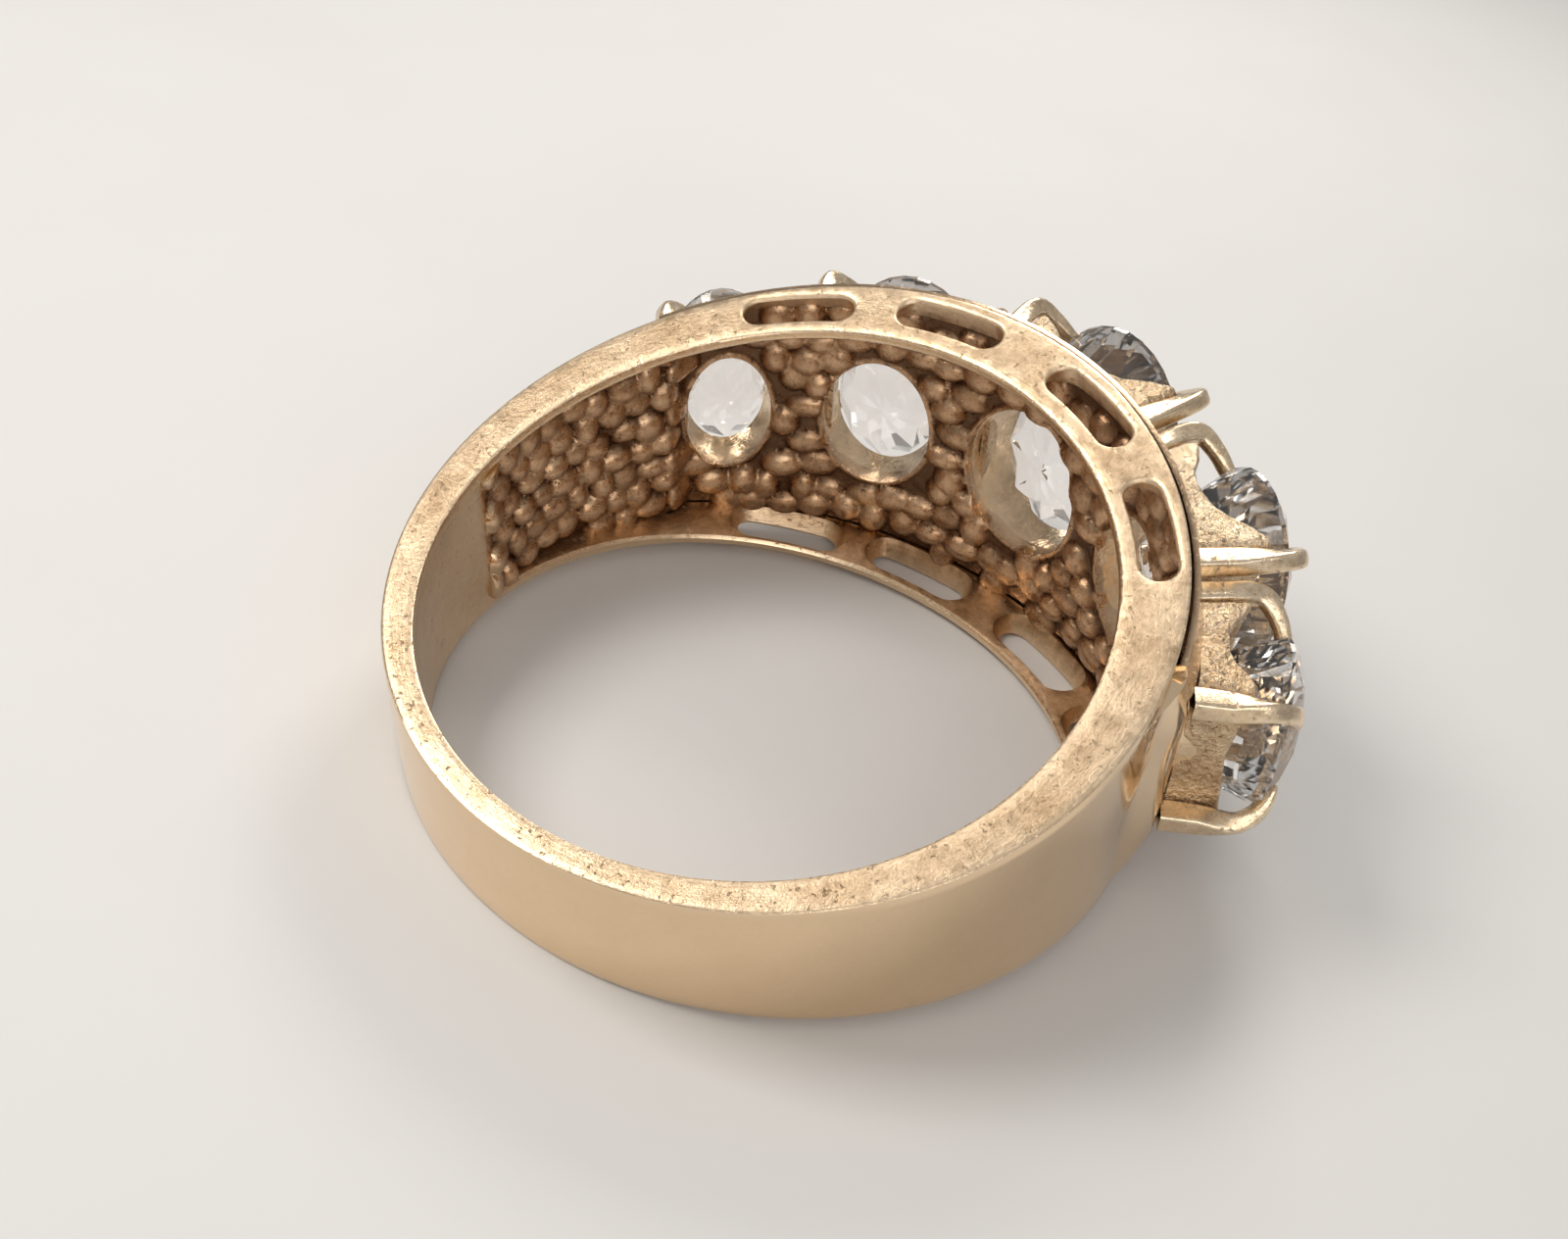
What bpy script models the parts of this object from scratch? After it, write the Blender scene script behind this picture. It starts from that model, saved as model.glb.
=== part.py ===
"""Five-stone dress ring, lying on its side.

The ring is modelled about its finger axis: Z along the axis, +X through the centre
stone. It is then tilted as it lies on a table, on the head's lower corner and the
back of the band. Lengths are millimetres and angles degrees until mesh data is made.
"""
import math
from collections import namedtuple

import bmesh
import bpy
from mathutils import Matrix, Vector

MM = 0.001

# Band
FINGER_RADIUS = 8.75
RIM_AT_HEAD = 1.92        # radial thickness under the centre stone
RIM_AT_BACK = 0.70        # radial thickness opposite the stones
WIDTH_AT_HEAD = 9.56      # axial width where the bore passes the centre stone
WIDTH_AT_SIDES = 5.78
WIDTH_AT_BACK = 3.71
FLAT_DEPTH = 0.06         # worn flats that the ring lies on
BAND_SEGMENTS = 96        # segments in a full turn

# Hollow behind the shoulders, on the finger side
RECESS_SWEEP = 44.6       # how far it reaches past the head, in degrees
RECESS_START_DEPTH = 0.14
RECESS_WALL = 0.35        # axial thickness of the walls beside the hollow
SKIN = 0.45               # metal left outside the hollow

# Side rails, with one slot between each pair of stones
RAIL_WALL = 0.32
SLOT_LENGTH = 3.15
SLOT_HEIGHT = 0.95
SLOT_OUTER_LIP = 0.36     # rail left outside a slot
SLOT_LEAN = 1.2           # degrees towards the shank, from the midpoint of two stones

# Plate that lies on the rails and carries the settings
PLATE_THICKNESS = 0.50
PLATE_EDGE = 0.16         # thickness where the plate meets the rails
PLATE_SLOPE = 1.30        # axial width of the plate's sloped margin
PLATE_INSET = 0.12        # step from the rail's side face to the plate's edge
HEAD_MARGIN = 0.20        # plate left outside the outermost claws

# Stones: heights are from the band's outer surface to the girdle
STONE_GAP = 2.10          # between the edges of neighbouring stones
CENTRE = dict(length=7.0, width=5.0, height=4.13, window_length=5.0, window_width=4.0)
SECOND = dict(length=6.2, width=4.5, height=3.60, window_length=4.5, window_width=3.4)
END = dict(length=5.2, width=3.4, height=2.87, window_length=4.1, window_width=2.65)

# Stone cut, as shares of the stone's own width, with the table as a share of its outline
CROWN_HEIGHT = 0.15
GIRDLE_THICKNESS = 0.03
PAVILION_DEPTH = 0.62
KNEE_DEPTH = 0.30         # where the steep upper pavilion turns towards the culet
KNEE_SIZE = 0.72          # outline there, as a share of the girdle's
TABLE_SIZE = 0.58
FACETS = 8                # main facets round a stone

# Settings
CLAW_WIDTH = 0.54
CLAW_GAP = 0.24           # between the two claws of neighbouring stones
CLAW_INSET = 0.45         # from the stone's end to the claw's axis, along the finger
CLAW_OVERHANG = 0.36      # how far a claw tip reaches over the stone's edge
CLAW_KNEE = 0.30          # below the girdle, where a claw starts to bend
CLAW_BEND = 0.42          # share of the way from the post to the stone's edge
CREST_THICKNESS = 0.40    # of a claw above the stone's edge
TIP_THICKNESS = 0.26
TIP_WIDTH = 0.43
END_CLAW_OFFSET = 0.02    # outermost claws, from the stone's edge to the claw's axis
COLLET_WALL = 0.20
COLLET_DROP = 1.22        # from the girdle down to the top of the setting's walls

# Clearances
FIT = 0.06                # between pieces that touch
FOOT_GAP = 0.10           # under a claw, whose flat foot stands on the curved plate
GRIP_GAP = 0.09           # between a claw and its stone
CUT_MARGIN = 0.5          # how far a cutter stands out of what it cuts

GOLD = ("worn_gold", (0.72, 0.53, 0.29, 1.0), 0.32, 1.0)
DARK_GOLD = ("granulated_gold", (0.50, 0.34, 0.18, 1.0), 0.45, 1.0)
CLAW_GOLD = ("claw_gold", (0.78, 0.60, 0.36, 1.0), 0.25, 1.0)
CRYSTAL = ("clear_stone", (0.92, 0.93, 0.94, 1.0), 0.03, 0.0)

# Corners of an octagon between two unit squares' sides
CORNER = math.tan(math.radians(22.5))
OCTAGON = [
    (1, -CORNER), (1, CORNER), (CORNER, 1), (-CORNER, 1),
    (-1, CORNER), (-1, -CORNER), (-CORNER, -1), (CORNER, -1),
]

Stone = namedtuple("Stone", "name angle length width girdle window_length window_width")


# ---------------------------------------------------------------- shared formulas

def rim(angle):
    """Radial thickness of the band at an angle from the centre stone."""
    middle = (RIM_AT_HEAD + RIM_AT_BACK) / 2
    swing = (RIM_AT_HEAD - RIM_AT_BACK) / 2
    return middle + swing * math.cos(math.radians(angle))


def outer_radius(angle):
    return FINGER_RADIUS + rim(angle)


def plate_inner_radius(angle):
    return outer_radius(angle) + FIT


def plate_outer_radius(angle):
    return plate_inner_radius(angle) + PLATE_THICKNESS


def half_width(x):
    """Half the band's axial width, as a curve through its three named widths."""
    share = x / FINGER_RADIUS
    lean = (WIDTH_AT_HEAD - WIDTH_AT_BACK) / 2
    bow = (WIDTH_AT_HEAD + WIDTH_AT_BACK) / 2 - WIDTH_AT_SIDES
    return (WIDTH_AT_SIDES + lean * share + bow * share * share) / 2


def pitch(near, far):
    """Angle between two neighbouring stones, measured at their girdles."""
    seat = outer_radius(0) + (near["height"] + far["height"]) / 2
    return math.degrees(((near["width"] + far["width"]) / 2 + STONE_GAP) / seat)


def place_stone(name, angle, size):
    girdle = outer_radius(angle) + size["height"]
    return Stone(name, angle, size["length"], size["width"], girdle,
                 size["window_length"], size["window_width"])


SECOND_ANGLE = pitch(CENTRE, SECOND)
END_ANGLE = SECOND_ANGLE + pitch(SECOND, END)
STONES = [
    place_stone("left_end", END_ANGLE, END),
    place_stone("left_second", SECOND_ANGLE, SECOND),
    place_stone("centre", 0.0, CENTRE),
    place_stone("right_second", -SECOND_ANGLE, SECOND),
    place_stone("right_end", -END_ANGLE, END),
]
END_REACH = END["width"] / 2 + END_CLAW_OFFSET + CLAW_WIDTH / 2 + HEAD_MARGIN
HEAD_HALF_ANGLE = END_ANGLE + math.degrees(END_REACH / plate_outer_radius(END_ANGLE))


def polar(radius, angle, z=0.0):
    turn = math.radians(angle)
    return Vector((radius * math.cos(turn), radius * math.sin(turn), z))


def local(stone, x, y, z):
    """Point given outward, along the band and across it, in a stone's own frame."""
    return Matrix.Rotation(math.radians(stone.angle), 3, 'Z') @ Vector((x, y, z))


def edge_point(radius, angle, inset=0.0):
    """Point on the upper side face of the band, or inset below it."""
    point = polar(radius, angle)
    point.z = half_width(point.x) - inset
    return point


def mirrored(point):
    return Vector((point.x, point.y, -point.z))


def flat_line():
    """Slope and height of the plane that trims the band's two lowest corners."""
    front = outer_radius(0)
    back = -outer_radius(180)
    slope = (half_width(front) - half_width(back)) / (front - back)
    return slope, half_width(back) - slope * back - FLAT_DEPTH


def angles_between(start, end):
    count = max(2, math.ceil(abs(end - start) / 360 * BAND_SEGMENTS))
    return [start + (end - start) * i / count for i in range(count + 1)]


def oval(half_y, half_z, count, phase=0.0):
    turns = [2 * math.pi * (step + phase) / count for step in range(count)]
    return [(half_y * math.cos(turn), half_z * math.sin(turn)) for turn in turns]


# ---------------------------------------------------------------- mesh helpers

def material(spec):
    name, colour, roughness, metallic = spec
    made = bpy.data.materials.new(name)
    made.use_nodes = True
    shader = made.node_tree.nodes["Principled BSDF"]
    shader.inputs["Base Color"].default_value = colour
    shader.inputs["Roughness"].default_value = roughness
    shader.inputs["Metallic"].default_value = metallic
    made.diffuse_color = colour
    return made


def make_object(name, builder, spec, parent, smooth_angle=30.0):
    """Turn a bmesh in millimetres into an object in metres under its parent."""
    mesh = bpy.data.meshes.new(name)
    bmesh.ops.recalc_face_normals(builder, faces=builder.faces)
    bmesh.ops.scale(builder, vec=(MM, MM, MM), verts=builder.verts)
    builder.to_mesh(mesh)
    builder.free()
    mesh.shade_smooth()
    mesh.set_sharp_from_angle(angle=math.radians(smooth_angle))
    mesh.materials.append(material(spec))
    made = bpy.data.objects.new(name, mesh)
    bpy.context.scene.collection.objects.link(made)
    made.parent = parent
    return made


def loft(loops, closed=False):
    """Join loops of equal length into a tube, with filled ends or closed on itself."""
    builder = bmesh.new()
    rows = [[builder.verts.new(point) for point in loop] for loop in loops]
    following = rows[1:] + rows[:1] if closed else rows[1:]
    for near, far in zip(rows, following):
        for i in range(len(near)):
            j = (i + 1) % len(near)
            builder.faces.new((near[i], near[j], far[j], far[i]))
    if not closed:
        builder.faces.new(reversed(rows[0]))
        builder.faces.new(rows[-1])
    return builder


def cut(target, builder, name):
    """Subtract a closed mesh from an object, as a modifier with its own hidden tool."""
    tool = make_object(name, builder, GOLD, target.parent)
    tool.hide_render = True
    tool.display_type = 'WIRE'
    modifier = target.modifiers.new(name, 'BOOLEAN')
    modifier.operation = 'DIFFERENCE'
    modifier.object = tool


def wear_flat(builder, side):
    """Slice off the worn flat on the upper (1) or lower (-1) side face."""
    slope, height = flat_line()
    bmesh.ops.bisect_plane(
        builder,
        geom=builder.verts[:] + builder.edges[:] + builder.faces[:],
        plane_co=(0, 0, side * height),
        plane_no=(-slope, 0, side),
        clear_outer=True,
    )
    open_edges = [edge for edge in builder.edges if edge.is_boundary]
    bmesh.ops.holes_fill(builder, edges=open_edges)


# ---------------------------------------------------------------- band

def make_shank(parent):
    """Closed part of the band, from one end of the head round the back to the other."""
    loops = []
    start = HEAD_HALF_ANGLE + math.degrees(FIT / FINGER_RADIUS)
    for angle in angles_between(start, 360 - start):
        inner = edge_point(FINGER_RADIUS, angle)
        outer = edge_point(outer_radius(angle), angle)
        loops.append([mirrored(inner), mirrored(outer), outer, inner])
    builder = loft(loops)
    wear_flat(builder, 1)
    wear_flat(builder, -1)
    shank = make_object("shank", builder, GOLD, parent)
    cut(shank, recess(1), "left_recess_cutter")
    cut(shank, recess(-1), "right_recess_cutter")


def recess(side):
    """Hollow behind one shoulder, deepening towards the head."""
    loops = []
    deepening = rim(HEAD_HALF_ANGLE) - SKIN - RECESS_START_DEPTH
    margin = math.degrees(CUT_MARGIN / FINGER_RADIUS)
    for angle in angles_between(HEAD_HALF_ANGLE - margin, HEAD_HALF_ANGLE + RECESS_SWEEP):
        share = min(1.0, (HEAD_HALF_ANGLE + RECESS_SWEEP - angle) / RECESS_SWEEP)
        depth = RECESS_START_DEPTH + deepening * share
        near = edge_point(FINGER_RADIUS - CUT_MARGIN, side * angle, RECESS_WALL)
        far = edge_point(FINGER_RADIUS + depth, side * angle, RECESS_WALL)
        loops.append([mirrored(near), mirrored(far), far, near])
    return loft(loops)


def make_rail(name, side, parent):
    """One side wall of the head, pierced by a slot between each pair of stones."""
    loops = []
    for angle in angles_between(-HEAD_HALF_ANGLE, HEAD_HALF_ANGLE):
        corners = [
            edge_point(FINGER_RADIUS, angle, RAIL_WALL),
            edge_point(outer_radius(angle), angle, RAIL_WALL),
            edge_point(outer_radius(angle), angle),
            edge_point(FINGER_RADIUS, angle),
        ]
        loops.append(corners if side > 0 else [mirrored(point) for point in corners])
    builder = loft(loops)
    wear_flat(builder, side)
    rail = make_object(name, builder, GOLD, parent)
    for number, (near, far) in enumerate(zip(STONES, STONES[1:]), start=1):
        middle = (near.angle + far.angle) / 2
        angle = middle + math.copysign(SLOT_LEAN, middle)
        cut(rail, slot(angle, side), f"{name}_slot_cutter_{number}")


def slot(angle, side):
    """Curved obround prism that pierces a rail."""
    half_height = SLOT_HEIGHT / 2
    radius = outer_radius(angle) - SLOT_OUTER_LIP - half_height
    half_turn = math.degrees((SLOT_LENGTH / 2 - half_height) / radius)
    outline = [polar(radius + half_height, angle + half_turn * t / 3) for t in range(-2, 3)]
    outline += slot_end(radius, angle + half_turn, half_height, 0)
    outline += [polar(radius - half_height, angle - half_turn * t / 3) for t in range(-2, 3)]
    outline += slot_end(radius, angle - half_turn, half_height, 180)
    thinnest = half_width(polar(radius, HEAD_HALF_ANGLE).x)
    low = side * (thinnest - RAIL_WALL - CUT_MARGIN)
    high = side * (half_width(radius) + CUT_MARGIN)
    return loft([[Vector((point.x, point.y, z)) for point in outline] for z in (low, high)])


def slot_end(radius, angle, half_height, start):
    """Half circle at one end of a slot, counted from the outward direction."""
    points = []
    for step in range(7):
        turn = math.radians(start + 30 * step)
        swing = math.cos(turn) * polar(1, angle) + math.sin(turn) * polar(1, angle + 90)
        points.append(polar(radius, angle) + half_height * swing)
    return points


# ---------------------------------------------------------------- head plate

def make_head_plate(parent):
    """Curved plate on the rails, with an oval window under each stone."""
    loops = []
    for angle in angles_between(-HEAD_HALF_ANGLE, HEAD_HALF_ANGLE):
        inner = plate_inner_radius(angle)
        side = half_width(polar(inner, angle).x) - PLATE_INSET
        upper = [
            polar(inner, angle, side),
            polar(inner + PLATE_EDGE, angle, side),
            polar(plate_outer_radius(angle), angle, side - PLATE_SLOPE),
        ]
        loops.append(upper + [mirrored(point) for point in reversed(upper)])
    plate = make_object("head_plate", loft(loops), DARK_GOLD, parent)
    for stone in STONES:
        cut(plate, window(stone), f"window_cutter_{stone.name}")


def window(stone):
    """Oval prism along the stone's own direction."""
    outline = oval(stone.window_width / 2, stone.window_length / 2, 24)
    reaches = (FINGER_RADIUS, plate_outer_radius(0) + CUT_MARGIN)
    return loft([[local(stone, x, y, z) for y, z in outline] for x in reaches])


# ---------------------------------------------------------------- stones

def make_stone(stone, parent):
    """Oval brilliant with a table, crown facets, girdle band, two-step pavilion and culet."""
    table_x = stone.girdle + CROWN_HEIGHT * stone.width
    edge_x = stone.girdle - GIRDLE_THICKNESS * stone.width
    knee_x = edge_x - KNEE_DEPTH * stone.width
    culet_x = edge_x - PAVILION_DEPTH * stone.width
    count = 2 * FACETS
    builder = bmesh.new()

    def ring(x, scale, corners, phase):
        outline = oval(scale * stone.width / 2, scale * stone.length / 2, corners, phase)
        return [builder.verts.new(local(stone, x, y, z)) for y, z in outline]

    table = ring(table_x, TABLE_SIZE, FACETS, 0.5)
    girdle = ring(stone.girdle, 1.0, count, 0.0)
    edge = ring(edge_x, 1.0, count, 0.0)
    knee = ring(knee_x, KNEE_SIZE, count, 0.0)
    culet = builder.verts.new(local(stone, culet_x, 0, 0))
    builder.faces.new(table)
    for i in range(FACETS):
        here, there = table[i], table[(i + 1) % FACETS]
        last = girdle[(2 * i + 2) % count]
        builder.faces.new((here, girdle[2 * i], girdle[2 * i + 1]))
        builder.faces.new((here, girdle[2 * i + 1], last))
        builder.faces.new((here, last, there))
    for i in range(count):
        j = (i + 1) % count
        builder.faces.new((girdle[i], edge[i], edge[j], girdle[j]))
        builder.faces.new((edge[i], knee[i], knee[j], edge[j]))
        builder.faces.new((knee[i], culet, knee[j]))
    make_object(f"stone_{stone.name}", builder, CRYSTAL, parent, smooth_angle=1.0)


# ---------------------------------------------------------------- settings

def claw_line(index, toward):
    """Foot of the perpendicular and direction of a claw's post, in its stone's own frame.

    toward is 1 for the claws at growing angle and -1 for the others. A claw next to
    another stone stands beside the plane midway between the two stones, and an
    outermost claw stands beside its own stone.
    """
    stone = STONES[index]
    neighbour = index - toward
    if 0 <= neighbour < len(STONES):
        turn = math.radians((STONES[neighbour].angle - stone.angle) / 2)
        offset = -toward * (CLAW_GAP + CLAW_WIDTH) / 2
    else:
        turn = 0.0
        offset = toward * (stone.width / 2 + END_CLAW_OFFSET)
    direction = Vector((math.cos(turn), math.sin(turn)))
    return Vector((-offset * direction.y, offset * direction.x)), direction


def post_y(index, toward, x):
    """Where a claw's post stands beside its stone, at an outward distance x."""
    start, direction = claw_line(index, toward)
    return start.y + (x - start.x) / direction.x * direction.y


def post_foot(index, toward):
    """Where a claw's post meets the plate."""
    start, direction = claw_line(index, toward)
    lean = math.degrees(math.atan2(direction.y, direction.x))
    radius = plate_outer_radius(STONES[index].angle + lean) + FOOT_GAP
    return start + direction * math.sqrt(radius ** 2 - start.length_squared)


def claw_sections(index, toward, level):
    """Centre, width and thickness of a claw at its foot, knee, bend, crest and tip."""
    stone = STONES[index]
    foot = post_foot(index, toward)
    z = level * (stone.length / 2 - CLAW_INSET)
    knee_x = stone.girdle - CLAW_KNEE
    knee = Vector((post_y(index, toward, knee_x), z))
    edge = knee / math.hypot(2 * knee.x / stone.width, 2 * knee.y / stone.length)
    over = CLAW_OVERHANG / edge.length
    rise = CROWN_HEIGHT * stone.width * over / (1 - TABLE_SIZE)
    crest_x = stone.girdle + GRIP_GAP + CREST_THICKNESS / 2
    bend_x = (stone.girdle + crest_x) / 2
    tip_x = stone.girdle + rise + GRIP_GAP + TIP_THICKNESS / 2
    return [
        (Vector((foot.x, foot.y, z)), CLAW_WIDTH, CLAW_WIDTH),
        (Vector((knee_x, *knee)), CLAW_WIDTH, CLAW_WIDTH),
        (Vector((bend_x, *knee.lerp(edge, CLAW_BEND))), CLAW_WIDTH, CLAW_WIDTH),
        (Vector((crest_x, *edge)), CLAW_WIDTH, CREST_THICKNESS),
        (Vector((tip_x, *(edge * (1 - over)))), TIP_WIDTH, TIP_THICKNESS),
    ]


def make_claw(index, toward, level, name, parent):
    """Post from the plate up past the girdle, bent over the stone's edge."""
    stone = STONES[index]
    sections = claw_sections(index, toward, level)
    centres = [centre for centre, _, _ in sections]
    post = claw_line(index, toward)[1].to_3d()
    inward = Vector((0, -centres[1].y, -centres[1].z)).normalized()
    sideways = Vector((1, 0, 0)).cross(inward)
    loops = []
    for i, (centre, width, thickness) in enumerate(sections):
        along = centres[min(i + 1, len(centres) - 1)] - centres[i - 1] if i else post
        across = sideways.cross(along.normalized())
        corners = [centre + thickness / 2 * a * across + width / 2 * b * sideways for a, b in OCTAGON]
        loops.append([local(stone, *corner) for corner in corners])
    make_object(name, loft(loops), CLAW_GOLD, parent, smooth_angle=50.0)


def make_setting(index, parent):
    """Open box under a stone, between its claws; its foot follows the curve of the plate."""
    stone = STONES[index]
    foot = plate_outer_radius(stone.angle)
    top = stone.girdle - COLLET_DROP
    post = CLAW_WIDTH / 2 + FIT
    loops = []
    for inset, levels in ((0.0, (foot, top)), (COLLET_WALL, (top, foot))):
        half_z = stone.length / 2 - CLAW_INSET + CLAW_WIDTH / 2 - inset
        for x in levels:
            low = post_y(index, -1, x) + post + inset
            high = post_y(index, 1, x) - post - inset
            loops.append(box_ring(stone, x, (low, high), half_z, seated=x == foot))
    make_object(f"setting_{stone.name}", loft(loops, closed=True), GOLD, parent)


def box_ring(stone, x, y_range, half_z, seated):
    """Rectangle round a stone's direction; a seated one lies on the plate."""
    low, high = y_range
    steps = 6
    row = [low + (high - low) * i / steps for i in range(steps + 1)]
    outline = [(y, -half_z) for y in row] + [(y, half_z) for y in reversed(row)]
    points = []
    for y, z in outline:
        reach = x
        if seated:
            angle = stone.angle + math.degrees(math.atan2(y, x))
            reach = math.sqrt((plate_outer_radius(angle) + FIT) ** 2 - y ** 2)
        points.append(local(stone, reach, y, z))
    return points


def make_settings(parent):
    for index, stone in enumerate(STONES):
        make_stone(stone, parent)
        make_setting(index, parent)
        for toward, side in ((1, "left"), (-1, "right")):
            for level, height in ((1, "upper"), (-1, "lower")):
                make_claw(index, toward, level, f"claw_{stone.name}_{side}_{height}", parent)


# ---------------------------------------------------------------- placing

def lay_down(carrier):
    """Tilt the ring onto its worn flats and put the origin under its middle."""
    slope, _ = flat_line()
    carrier.rotation_euler = (0, -math.atan(slope), 0)
    bpy.context.view_layer.update()
    corners = []
    for piece in carrier.children:
        if not piece.hide_render:
            corners += [piece.matrix_world @ vertex.co for vertex in piece.data.vertices]
    low = [min(corner[axis] for corner in corners) for axis in range(3)]
    high = [max(corner[axis] for corner in corners) for axis in range(3)]
    carrier.location = (-(low[0] + high[0]) / 2, -(low[1] + high[1]) / 2, -low[2])


def main():
    for old in list(bpy.data.objects):
        bpy.data.objects.remove(old, do_unlink=True)
    carrier = bpy.data.objects.new("ring_axis", None)
    bpy.context.scene.collection.objects.link(carrier)
    make_shank(carrier)
    make_rail("side_rail_upper", 1, carrier)
    make_rail("side_rail_lower", -1, carrier)
    make_head_plate(carrier)
    make_settings(carrier)
    lay_down(carrier)


main()
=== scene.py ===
import math
import random
from collections import namedtuple

import bmesh
import bpy
import numpy as np
from mathutils import Matrix, Vector, noise
from mathutils.geometry import delaunay_2d_cdt


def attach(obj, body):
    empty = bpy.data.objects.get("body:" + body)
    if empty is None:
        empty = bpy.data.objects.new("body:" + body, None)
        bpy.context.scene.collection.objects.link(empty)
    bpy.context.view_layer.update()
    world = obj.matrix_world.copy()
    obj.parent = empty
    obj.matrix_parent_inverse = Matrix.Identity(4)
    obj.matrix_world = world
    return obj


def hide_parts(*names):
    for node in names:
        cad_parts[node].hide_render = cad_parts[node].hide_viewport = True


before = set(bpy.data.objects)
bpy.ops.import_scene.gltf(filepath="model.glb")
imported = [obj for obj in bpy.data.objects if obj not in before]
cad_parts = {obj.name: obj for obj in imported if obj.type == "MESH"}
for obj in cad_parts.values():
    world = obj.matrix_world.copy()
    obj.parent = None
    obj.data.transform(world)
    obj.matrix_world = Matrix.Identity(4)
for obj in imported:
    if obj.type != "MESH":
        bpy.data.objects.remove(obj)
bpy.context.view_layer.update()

MM = 0.001

# ---------------- sizes of the CAD model

FINGER_RADIUS = 8.75
RIM_AT_HEAD = 1.92
RIM_AT_BACK = 0.70
WIDTH_AT_HEAD = 9.56
WIDTH_AT_SIDES = 5.78
WIDTH_AT_BACK = 3.71
FLAT_DEPTH = 0.06

RECESS_SWEEP = 44.6
RECESS_START_DEPTH = 0.14
RECESS_WALL = 0.35
SKIN = 0.45

RAIL_WALL = 0.32
SLOT_LENGTH = 3.15
SLOT_HEIGHT = 0.95
SLOT_OUTER_LIP = 0.36
SLOT_LEAN = 1.2

PLATE_THICKNESS = 0.50
PLATE_EDGE = 0.16
PLATE_SLOPE = 1.30
PLATE_INSET = 0.12
HEAD_MARGIN = 0.20

STONE_GAP = 2.10
CENTRE = dict(length=7.0, width=5.0, height=4.13, window_length=5.0, window_width=4.0)
SECOND = dict(length=6.2, width=4.5, height=3.60, window_length=4.5, window_width=3.4)
END = dict(length=5.2, width=3.4, height=2.87, window_length=4.1, window_width=2.65)

CROWN_HEIGHT = 0.15
GIRDLE_THICKNESS = 0.03
PAVILION_DEPTH = 0.62
TABLE_SIZE = 0.58
BELLY = ((0.34, 0.79), (0.53, 0.58))     # depth and outline of the pavilion's two rings

CLAW_WIDTH = 0.54
CLAW_GAP = 0.24
CLAW_INSET = 0.45
CLAW_OVERHANG = 0.36
CLAW_BEND = 0.42
CREST_THICKNESS = 0.40
TIP_THICKNESS = 0.26
END_CLAW_OFFSET = 0.02
COLLET_WALL = 0.20
COLLET_DROP = 1.22
FIT = 0.06
GRIP_GAP = 0.09

# ---------------- finish sizes, in millimetres

CLAW_KNEE = 0.62          # below the girdle, where a finished claw starts to bend
CLAW_BEND_DROP = 0.12     # from the girdle down to the middle of the bend
CLAW_WOBBLE = 0.015       # by which claws differ in width
CLAW_ROOT = 0.05          # how far a claw's foot reaches into the head plate
CLAW_SINK = 0.14          # the finished claws press this much closer to the stones
WALL_LIFT = 0.01          # of a setting's foot above the head plate
HAMMERING = 0.045         # depth of the hammering on a setting's walls
CORNER_RISE = 0.30        # of a setting's wall beside its claws
SCALLOP = 0.30            # dip in a setting's end walls, as a share of their height
SEAT_ROOT = 0.25          # a seat starts this far above the head plate's inner face
SEAT_GAP = 0.03           # between a window's edge and the seat round it
SEAT_WALL = 0.10          # of the oval seat inside a setting
SEAT_TOP = (0.45, 0.74)   # depth below the girdle and outline, as shares of the stone's
STEP = 1.0                # degrees between the band's cross-sections
EDGE = 0.09               # rounding of the band's long edges
SLOT_LIP = 0.12           # rounding of a slot's rim
BORE_POLISH = 0.6         # how far the bore is polished; the band's outside is at 1
OUTSIDE_EASE = 0.06       # depth over which the outside's polish fades at its edges
BORE_EASE = 0.05          # and the bore's
WALL_EASE = 8.0           # degrees over which the rails thin into the shoulder walls
FLOOR_STEPS = 6           # points from the middle of the band to its wall
FILLET = 9.0              # degrees over which the band's outside rises to the head plate
FACE_STEPS = 4            # points across the side face
FACE_GRID = 0.30          # mesh spacing on the pierced side faces
ROOM_SLACK = 0.0004       # a place this far outside an outline still counts as inside
END_BULGE = 0.0016        # degrees by which a face's straight ends bow out, for clean triangles
SLOT_FLARE = 0.28         # slots are this much wider at the back of the rail
LINING_GRID = 0.09        # mesh spacing on the granulated lining
BEAD_PITCH = 0.93
BEAD_RADIUS = (0.46, 0.58)
BEAD_HEIGHT = (0.24, 0.40)
BEAD_STAND = 0.13         # how far a grain may stand out of the hollow, into the bore
COLLAR_WIDTH = 0.15       # smooth rim round each window
COLLAR_HEIGHT = 0.09

Stone = namedtuple("Stone", "name angle length width girdle window_length window_width")


# ---------------- shared shape of the ring

def rim(angle):
    middle = (RIM_AT_HEAD + RIM_AT_BACK) / 2
    swing = (RIM_AT_HEAD - RIM_AT_BACK) / 2
    return middle + swing * math.cos(math.radians(angle))


def outer_radius(angle):
    return FINGER_RADIUS + rim(angle)


def plate_outer_radius(angle):
    return outer_radius(angle) + FIT + PLATE_THICKNESS


def half_width(x):
    share = x / FINGER_RADIUS
    lean = (WIDTH_AT_HEAD - WIDTH_AT_BACK) / 2
    bow = (WIDTH_AT_HEAD + WIDTH_AT_BACK) / 2 - WIDTH_AT_SIDES
    return (WIDTH_AT_SIDES + lean * share + bow * share * share) / 2


def width_at(radius, angle):
    """Half the band's width at a polar place."""
    return half_width(radius * math.cos(math.radians(angle)))


def pitch(near, far):
    seat = outer_radius(0) + (near["height"] + far["height"]) / 2
    return math.degrees(((near["width"] + far["width"]) / 2 + STONE_GAP) / seat)


def place_stone(name, angle, size):
    girdle = outer_radius(angle) + size["height"]
    return Stone(name, angle, size["length"], size["width"], girdle,
                 size["window_length"], size["window_width"])


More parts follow.
